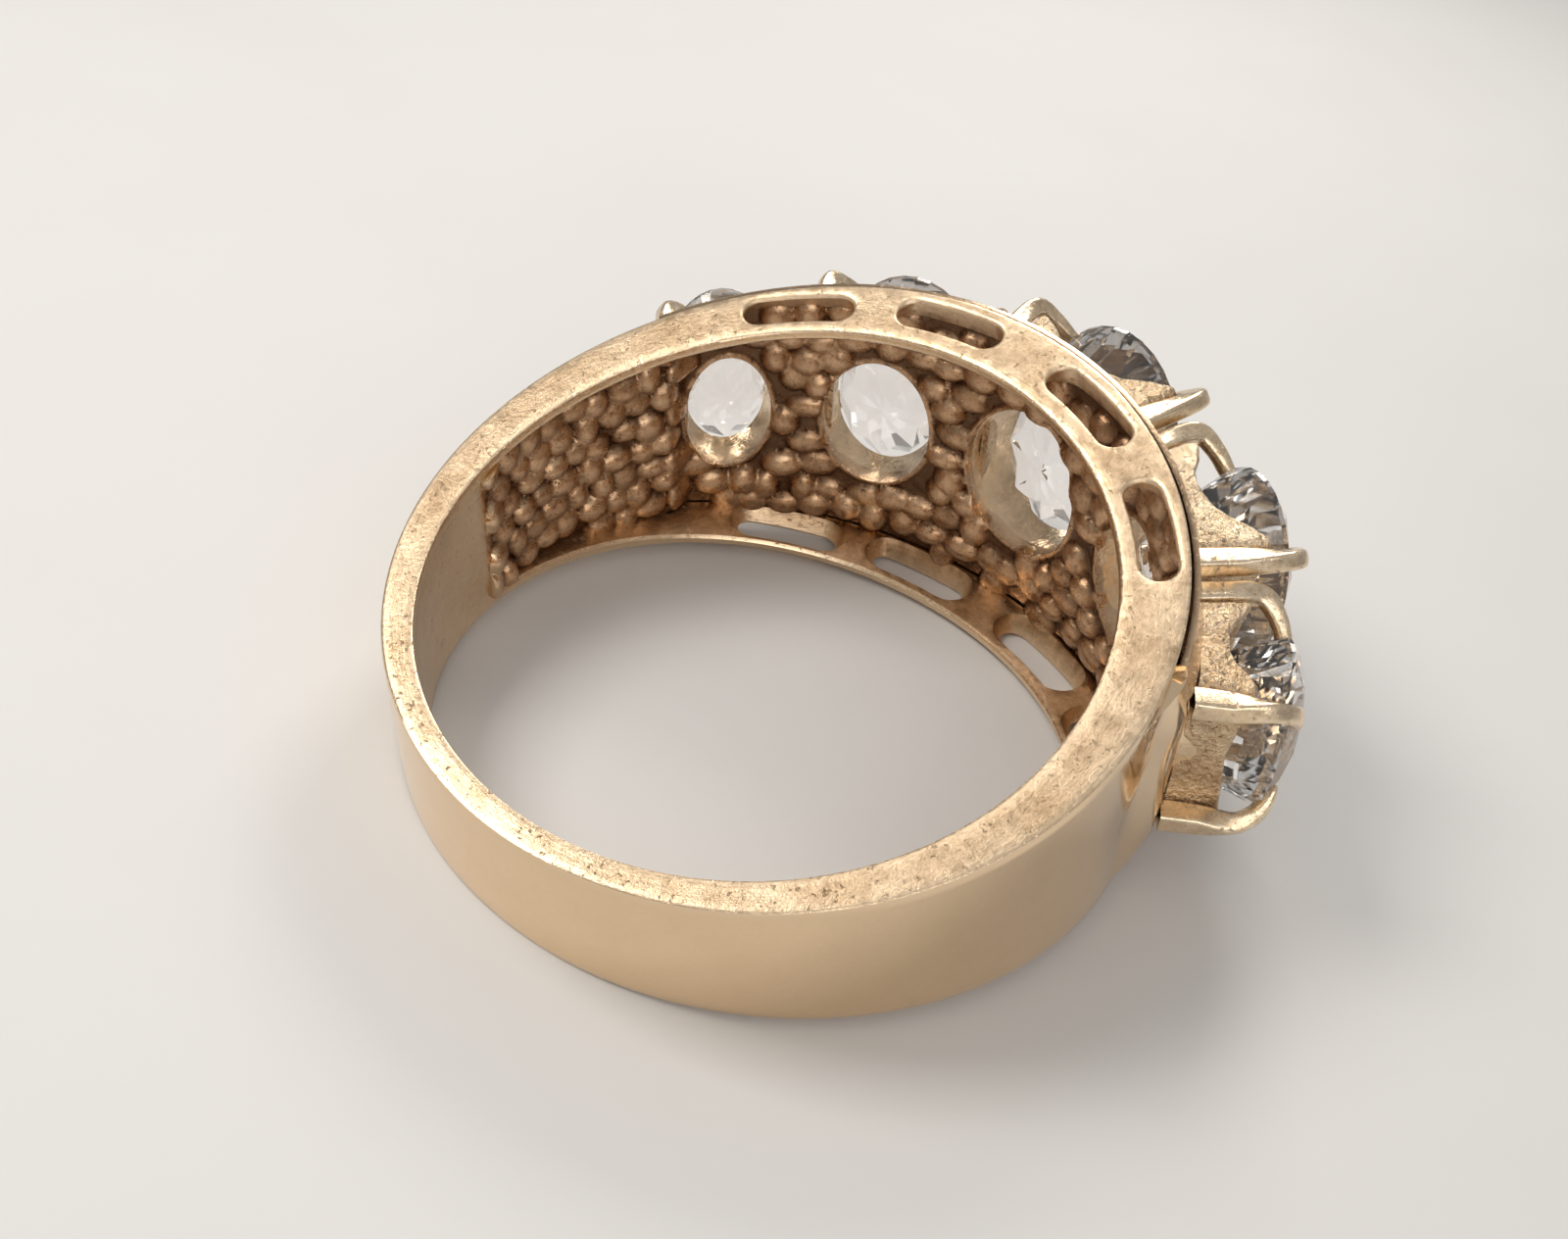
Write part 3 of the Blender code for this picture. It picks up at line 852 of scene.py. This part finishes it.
def curve_through(points, steps):
    """Smooth curve through points, as places and the share of the way along."""
    padded = [2 * points[0] - points[1]] + points + [2 * points[-1] - points[-2]]
    places = []
    for i in range(len(points) - 1):
        a, b, c, d = padded[i:i + 4]
        last = i == len(points) - 2
        for j in range(steps + (1 if last else 0)):
            t = j / steps
            place = 0.5 * (2 * b + (c - a) * t + (2 * a - 5 * b + 4 * c - d) * t * t
                           + (3 * b - a - 3 * c + d) * t * t * t)
            places.append((place, i + t))
    return places


def profile(values, where):
    """Value between neighbouring entries of a list."""
    i = min(len(values) - 2, int(where))
    share = where - i
    return values[i] + (values[i + 1] - values[i]) * share


CURVE_STEPS = 6           # cross-sections between two points of a claw's path
CLAW_CORNERS = 24         # points round a claw
# Claw profile at its foot, middle, knee, bend, crest and tip
CLAW_WIDTHS = [0.58, 0.57, 0.54, 0.52, 0.58, 0.56]
CLAW_THICKNESSES = [0.68, 0.66, 0.58, 0.50, 0.40, 0.26]
CLAW_SQUARENESS = [0.26, 0.30, 0.5, 0.7, 0.75, 0.8]
CLAW_TURN = [0.0, 0.0, 0.7, 1.0, 1.0, 1.0]     # share of the turn to face the stone
CLAW_SHIFT = [0.03, 0.03, 0.0, 0.0, 0.0, 0.0]  # towards the neighbouring claw


def make_claw(index, toward, level, name, material, chance):
    """Square post beside its neighbour, turning and flattening into a spoon-shaped tip."""
    stone = STONES[index]
    builder = new_builder()
    path = curve_through(claw_path(index, toward, level), CURVE_STEPS)
    knee = path[2 * CURVE_STEPS][0]
    inward = Vector((0, -knee.y, -knee.z)).normalized()
    facing = Vector((1, 0, 0)).cross(inward)
    square = Vector((1, 0, 0)).cross(Vector((0, -toward, 0)))
    wobble = chance.uniform(-CLAW_WOBBLE, CLAW_WOBBLE)
    rows = []
    for i, (place, where) in enumerate(path):
        before = path[max(i - 1, 0)][0]
        after = path[min(i + 1, len(path) - 1)][0]
        sideways = square.lerp(facing, profile(CLAW_TURN, where)).normalized()
        across = sideways.cross((after - before).normalized())
        shifted = place + Vector((0, toward * profile(CLAW_SHIFT, where), 0))
        rows.append(claw_row(builder, stone, shifted, across, sideways,
                             profile(CLAW_WIDTHS, where) + wobble,
                             profile(CLAW_THICKNESSES, where), profile(CLAW_SQUARENESS, where)))
    tip = path[-1][0]
    along = (tip - path[-2][0]).normalized()
    across = facing.cross(along)
    for reach, shrink in ((0.07, 0.90), (0.13, 0.68), (0.165, 0.36)):
        rows.append(claw_row(builder, stone, tip + along * reach, across, facing,
                             CLAW_WIDTHS[-1] * shrink, CLAW_THICKNESSES[-1] * shrink,
                             CLAW_SQUARENESS[-1]))
    add_rows(builder, rows, close_ends=True)
    builder.faces.new(rows[-1])
    builder.faces.new(reversed(rows[0]))
    finish_piece(name.replace("claw", "prong"), builder, material, (name,),
                 smooth_angle=50.0)


def claw_row(builder, stone, place, across, sideways, width, thickness, squareness):
    """One rounded-box cross-section of a claw."""
    row = []
    for i in range(CLAW_CORNERS):
        turn = 2 * math.pi * (i + 0.5) / CLAW_CORNERS
        a = math.copysign(abs(math.cos(turn)) ** squareness, math.cos(turn))
        b = math.copysign(abs(math.sin(turn)) ** squareness, math.sin(turn))
        point = place + thickness / 2 * a * across + width / 2 * b * sideways
        relief = 0.5 + 0.45 * abs(a * b)
        row.append(add_point(builder, local(stone, *point), relief))
    return row


def rounded_box(low, high, half_z, radius, steps=5, side_steps=8):
    """Outline of a box with round corners, as (y, z) pairs."""
    points = []
    corners = [(high - radius, half_z - radius, 0), (low + radius, half_z - radius, 90),
               (low + radius, radius - half_z, 180), (high - radius, radius - half_z, 270)]
    for i, (y, z, start) in enumerate(corners):
        for step in range(steps + 1):
            turn = math.radians(start + 90 * step / steps)
            points.append((y + radius * math.cos(turn), z + radius * math.sin(turn)))
        next_y, next_z, _ = corners[(i + 1) % 4]
        last = points[-1]
        turn = math.radians(start + 90)
        first = (next_y + radius * math.cos(turn), next_z + radius * math.sin(turn))
        for step in range(1, side_steps):
            share = step / side_steps
            points.append((last[0] + (first[0] - last[0]) * share,
                           last[1] + (first[1] - last[1]) * share))
    return points


def wall_rise(along, off_middle, scallop):
    """How far a setting's wall stands above (or dips below) its usual top."""
    corner = min(1.0, along) * smooth_share(off_middle, 0.2, 1.0)
    dip = smooth_share(along, 0.85, 1.0) * (1 - smooth_share(off_middle, 0.2, 0.95))
    return CORNER_RISE * corner - scallop * dip


def add_seat(builder, stone):
    """Oval tube from the rim of a window up to the stone's pavilion."""
    depth, scale = SEAT_TOP
    root = outer_radius(stone.angle) + FIT + SEAT_ROOT
    top = stone.girdle - (GIRDLE_THICKNESS + depth) * stone.width
    low = (stone.window_width / 2 + SEAT_GAP, stone.window_length / 2 + SEAT_GAP)
    high = (scale * stone.width / 2, scale * stone.length / 2)
    rows = []
    for share, grow in ((0, 0), (0.5, 0), (1, 0),
                        (1, SEAT_WALL), (0.5, SEAT_WALL), (0, SEAT_WALL)):
        row = []
        for i in range(64):
            turn = 2 * math.pi * i / 64
            y = (low[0] + (high[0] - low[0]) * share + grow) * math.cos(turn)
            z = (low[1] + (high[1] - low[1]) * share + grow) * math.sin(turn)
            base = math.sqrt(root ** 2 - y * y)
            row.append(add_point(builder, local(stone, base + (top - base) * share, y, z),
                                 0.75, 0.7))
        rows.append(row)
    add_rows(builder, rows, close_rows=True, close_ends=True)


def make_setting(index, material):
    """Hammered open box under a stone, rising a little towards its corners."""
    stone = STONES[index]
    builder = new_builder()
    foot = plate_outer_radius(stone.angle)
    top = stone.girdle - COLLET_DROP
    post = CLAW_WIDTH / 2 + FIT
    outer_steps = [(share, 0.0) for share in (0, 0.2, 0.4, 0.6, 0.8, 0.94)]
    edge_steps = [(0.985, 0.02), (1.0, 0.06),
                  (1.0, COLLET_WALL - 0.06), (0.985, COLLET_WALL - 0.02)]
    inner_steps = [(share, COLLET_WALL) for share in (0.9, 0.6, 0.3, 0)]
    rows = []
    for share, inset in outer_steps + edge_steps + inner_steps:
        base = foot + (top - foot) * share
        half_z = stone.length / 2 - CLAW_INSET + CLAW_WIDTH / 2 - inset
        low = post_y(index, -1, base) + post + inset
        high = post_y(index, 1, base) - post - inset
        row = []
        for y, z in rounded_box(low, high, half_z, max(0.05, 0.22 - inset / 2)):
            seat = math.sqrt((foot + WALL_LIFT) ** 2 - y * y)
            off_middle = abs(2 * y - low - high) / (high - low)
            rise = wall_rise(abs(z) / half_z, off_middle, SCALLOP * (top - foot))
            x = seat + (top + rise - seat) * share
            rough = HAMMERING * noise.noise(Vector((x * 3.0, y * 3.0, z * 3.0 + 7 * index)))
            wall = 1 + rough / half_z
            relief = 0.9 if inset in (0.02, 0.06) else 0.5
            row.append(add_point(builder, local(stone, x, y * wall, z * wall), relief))
        rows.append(row)
    add_rows(builder, rows, close_rows=True, close_ends=True)
    add_seat(builder, stone)
    finish_piece(f"collet_{stone.name}", builder, material,
                 (f"setting_{stone.name}",), smooth_angle=50.0)


# ---------------- materials

class Nodes:
    """Small helper that adds and links shader nodes."""

    def __init__(self, name):
        self.material = bpy.data.materials.new(name)
        self.material.use_nodes = True
        self.tree = self.material.node_tree
        self.shader = self.tree.nodes["Principled BSDF"]

    def add(self, kind, inputs=None, **settings):
        node = self.tree.nodes.new(kind)
        for key, value in settings.items():
            setattr(node, key, value)
        for key, value in (inputs or {}).items():
            self.feed(node.inputs[key], value)
        return node

    def feed(self, socket, value):
        if isinstance(value, bpy.types.NodeSocket):
            self.tree.links.new(value, socket)
        else:
            socket.default_value = value

    def math(self, operation, a, b=0.0):
        return self.add('ShaderNodeMath', {0: a, 1: b}, operation=operation).outputs[0]

    def plus(self, a, b):
        return self.math('ADD', a, b)

    def times(self, a, b):
        return self.math('MULTIPLY', a, b)

    def mix(self, share, a, b):
        node = self.add('ShaderNodeMix', data_type='RGBA')
        self.feed(node.inputs[0], share)
        self.feed(node.inputs[6], a)
        self.feed(node.inputs[7], b)
        return node.outputs[2]

    def put(self, name, value):
        self.feed(self.shader.inputs[name], value)

    def attribute(self, name, output="Fac"):
        return self.add('ShaderNodeAttribute', attribute_name=name).outputs[output]

    def bump(self, strength, distance, height):
        node = self.add('ShaderNodeBump', {"Strength": strength, "Distance": distance * MM,
                                           "Height": height})
        self.put("Normal", node.outputs[0])

    def ramp(self, value, low, high, start=0.0, end=1.0):
        node = self.add('ShaderNodeMapRange', {0: value, 1: low, 2: high, 3: start, 4: end})
        node.clamp = True
        return node.outputs[0]

    def noise(self, vector, scale, detail=3.0, roughness=0.5):
        node = self.add('ShaderNodeTexNoise', {"Vector": vector, "Scale": scale,
                                               "Detail": detail, "Roughness": roughness})
        return node.outputs["Fac"]


def ring_coordinates(nodes):
    """Place in the ring's own frame, in millimetres, and distance from its axis."""
    place = nodes.attribute("ring", "Vector")
    split = nodes.add('ShaderNodeSeparateXYZ', {0: place})
    squares = nodes.plus(nodes.math('POWER', split.outputs[0], 2.0),
                         nodes.math('POWER', split.outputs[1], 2.0))
    return place, split, nodes.math('SQRT', squares)


def streaks(nodes, split, radius, around, across):
    """Noise drawn out along the band, for polishing marks and scratches."""
    vector = nodes.add('ShaderNodeCombineXYZ', {
        0: nodes.times(split.outputs[0], around),
        1: nodes.times(split.outputs[1], around),
        2: nodes.times(split.outputs[2], across)}).outputs[0]
    node = nodes.add('ShaderNodeTexNoise', {"Vector": vector, "Scale": 1.0, "Detail": 3.0,
                                            "W": nodes.times(radius, across)},
                     noise_dimensions='4D')
    return node.outputs["Fac"]


POLISHED = (0.86, 0.66, 0.44, 1)


def worn_metal(name, bright, body, tarnish_and_shade, roughness, pit_depth, dents):
    """Gilt metal with painted shade in its hollows, tarnish stains, worn edges, pits and fine
    scratches.
    """
    nodes = Nodes(name)
    place, split, radius = ring_coordinates(nodes)
    relief = nodes.attribute("relief")
    polish = nodes.attribute("polish")
    matt = nodes.math('SUBTRACT', 1.0, nodes.times(polish, 0.9))
    clouds = nodes.noise(place, 0.55, 4.0, 0.6)
    blotches = nodes.ramp(nodes.noise(place, 1.9, 5.0, 0.68), 0.42, 0.66)
    grain = nodes.noise(place, 7.0, 5.0, 0.65)
    fine = nodes.noise(place, 26.0, 3.0, 0.6)
    marks = streaks(nodes, split, radius, 0.9, 16.0)
    pits = nodes.ramp(nodes.noise(place, 5.2, 5.0, 0.72), 0.60, 0.67)
    pits = nodes.times(pits, matt)
    # painted shade: places of low relief (hollows, recesses, slot backs) darken towards the dark
    # colour
    hollow = nodes.ramp(nodes.plus(relief, nodes.times(clouds, 0.35)), 0.75, 0.25)
    worn = nodes.ramp(nodes.plus(relief, nodes.times(grain, 0.30)), 0.80, 1.10)
    tone = nodes.ramp(nodes.plus(clouds, grain), 0.78, 1.22)
    colour = nodes.mix(tone, body, bright)
    stain = nodes.times(nodes.times(blotches, matt), 0.38)
    colour = nodes.mix(stain, colour, tarnish_and_shade)
    for mask, amount, tint in ((hollow, 0.85, tarnish_and_shade), (pits, 0.5, tarnish_and_shade), (worn, 0.6, bright),
                               (polish, 0.8, POLISHED)):
        colour = nodes.mix(nodes.times(mask, amount), colour, tint)
    nodes.put("Base Color", colour)
    rough = nodes.ramp(nodes.plus(grain, nodes.times(marks, 0.5)),
                       0.45, 1.05, roughness[0], roughness[1])
    rough = nodes.plus(rough, nodes.times(pits, 0.15))
    rough = nodes.plus(nodes.times(rough, matt), 0.03)
    nodes.put("Roughness", rough)
    nodes.put("Metallic", 1.0)
    height = nodes.times(pits, -1.0)
    for layer, amount in ((grain, 0.8), (fine, 0.35), (marks, 0.45)):
        height = nodes.plus(height, nodes.times(layer, amount))
    if dents:
        hammered = nodes.noise(place, 3.4, 3.0, 0.6)
        height = nodes.plus(height, nodes.times(hammered, dents))
    nodes.bump(1.0, pit_depth, nodes.times(height, matt))
    return nodes.material


def cut_stone():
    """Clear stone with faint clouds, a little surface wear and fine scratches."""
    nodes = Nodes("clear_cut_stone")
    place = nodes.attribute("ring", "Vector")
    cloud = nodes.noise(place, 0.8, 4.0, 0.6)
    scuffs = nodes.ramp(nodes.noise(place, 9.0, 4.0, 0.7), 0.55, 0.75)
    clouded = nodes.ramp(cloud, 0.35, 0.7)
    nodes.put("Base Color", nodes.mix(clouded, (0.99, 0.985, 0.98, 1), (0.94, 0.92, 0.91, 1)))
    nodes.put("Roughness", nodes.ramp(scuffs, 0.0, 1.0, 0.0, 0.04))
    nodes.put("Transmission Weight", 0.98)
    nodes.put("IOR", 1.58)
    nodes.bump(0.3, 0.001, nodes.noise(place, 18.0, 3.0, 0.6))
    return nodes.material


def floor_material():
    nodes = Nodes("pale_floor")
    place = nodes.add('ShaderNodeTexCoord').outputs["Object"]
    cloud = nodes.noise(place, 60.0, 4.0, 0.55)
    nodes.put("Base Color", nodes.mix(cloud, (0.66, 0.645, 0.63, 1), (0.70, 0.69, 0.68, 1)))
    nodes.put("Roughness", 0.75)
    return nodes.material


# ---------------- studio

CAMERA_PLACE = (-30.36, -21.97, 31.30)     # millimetres
CAMERA_TURN = (52.27, -9.31, -44.76)       # degrees
LENS = 39.12


def make_floor():
    builder = bmesh.new()
    corners = [(-1, -1), (1, -1), (1, 1), (-1, 1)]
    builder.faces.new([builder.verts.new((x, y, 0)) for x, y in corners])
    mesh = bpy.data.meshes.new("floor")
    builder.to_mesh(mesh)
    builder.free()
    mesh.materials.append(floor_material())
    floor = new_object("floor", mesh)


def make_camera():
    lens = bpy.data.cameras.new("camera")
    lens.sensor_fit = 'HORIZONTAL'
    lens.sensor_width = 36.0
    lens.lens = LENS
    lens.clip_start = 1 * MM
    lens.clip_end = 10.0
    camera = new_object("camera", lens)
    camera.location = [value * MM for value in CAMERA_PLACE]
    camera.rotation_euler = [math.radians(value) for value in CAMERA_TURN]
    bpy.context.scene.camera = camera


def make_lamp(name, place, size, power, colour):
    """Soft square lamp, aimed at the middle of the ring; place and size in millimetres."""
    data = bpy.data.lights.new(name, 'AREA')
    data.shape = 'SQUARE'
    data.size = size * MM
    data.energy = power
    data.color = colour
    lamp = new_object(name, data)
    lamp.location = Vector(place) * MM
    aim = Vector((0, 0, 5)) * MM - lamp.location
    lamp.rotation_euler = aim.to_track_quat('-Z', 'Y').to_euler()


def make_world():
    world = bpy.data.worlds.new("studio")
    world.use_nodes = True
    tree = world.node_tree
    background = tree.nodes["Background"]
    coords = tree.nodes.new('ShaderNodeTexCoord')
    split = tree.nodes.new('ShaderNodeSeparateXYZ')
    ramp = tree.nodes.new('ShaderNodeValToRGB')
    ramp.color_ramp.elements[0].position = 0.0
    ramp.color_ramp.elements[0].color = (0.42, 0.41, 0.40, 1)
    ramp.color_ramp.elements[1].position = 0.8
    ramp.color_ramp.elements[1].color = (0.62, 0.61, 0.60, 1)
    tree.links.new(coords.outputs["Generated"], split.inputs[0])
    tree.links.new(split.outputs[2], ramp.inputs[0])
    tree.links.new(ramp.outputs[0], background.inputs[0])
    background.inputs[1].default_value = 0.75
    bpy.context.scene.world = world


def make_ring():
    gold = worn_metal("worn_gilt_band", (0.90, 0.70, 0.48, 1), (0.73, 0.52, 0.32, 1),
                      (0.20, 0.11, 0.05, 1), (0.22, 0.42), 0.022, 0.0)
    # the granulated lining's colours are darker than the band's: painted shade of the recessed
    # lining, near black in the painted shade between grains
    grains = worn_metal("granulated_gilt", (0.74, 0.50, 0.31, 1), (0.52, 0.31, 0.17, 1),
                        (0.08, 0.035, 0.016, 1), (0.18, 0.36), 0.014, 0.0)
    hammered = worn_metal("hammered_gilt", (0.94, 0.77, 0.55, 1), (0.76, 0.55, 0.33, 1),
                          (0.20, 0.10, 0.05, 1), (0.12, 0.30), 0.045, 3.0)
    bright = worn_metal("claw_gilt", (0.95, 0.79, 0.58, 1), (0.80, 0.60, 0.38, 1),
                        (0.22, 0.12, 0.06, 1), (0.12, 0.26), 0.012, 0.6)
    crystal = cut_stone()
    make_band(gold)
    make_lining(grains)
    chance = random.Random(8)
    for index, stone in enumerate(STONES):
        make_stone(stone, crystal)
        make_setting(index, hammered)
        for toward, side in ((1, "left"), (-1, "right")):
            for level, height in ((1, "upper"), (-1, "lower")):
                name = f"claw_{stone.name}_{side}_{height}"
                make_claw(index, toward, level, name, bright, chance)


def main():
    make_ring()
    make_floor()
    make_camera()
    make_world()
    make_lamp("key", (-50, 70, 110), 56, 0.105, (1.0, 0.97, 0.92))
    make_lamp("fill", (-70, -90, 70), 90, 0.045, (1.0, 0.98, 0.96))
    make_lamp("rim", (85, 45, 80), 40, 0.050, (1.0, 0.96, 0.90))
    bpy.context.scene.view_settings.view_transform = 'Standard'


main()
